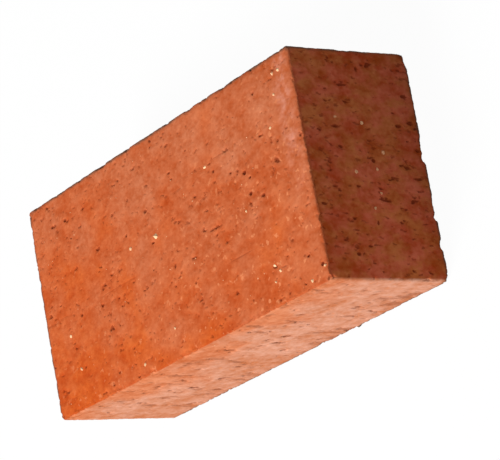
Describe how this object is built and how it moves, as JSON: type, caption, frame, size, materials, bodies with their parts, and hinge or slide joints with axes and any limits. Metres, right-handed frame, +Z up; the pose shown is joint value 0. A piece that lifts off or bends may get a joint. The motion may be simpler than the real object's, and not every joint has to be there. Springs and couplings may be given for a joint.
{
  "type": "solid clay building brick",
  "caption": "Solid wire-cut fired-clay building brick with flat beds, dragged long and short faces, softly rounded arrises and small spalls at its corners.",
  "frame": {"origin": "centre of the lower bed, on the surface that the brick lies on", "axes": "+X along the length, +Y across the width, +Z up from bed to bed, the shortest way through the brick"},
  "size_m": [0.24, 0.115, 0.071],
  "materials": {
    "fired_clay": "dry, matt and porous: wire-cut orange beds with open pits and pale mineral grains, paler salmon dragged faces along the length"
  },
  "bodies": {
    "root": {"brick_body": "fired_clay"}
  },
  "joints": []
}
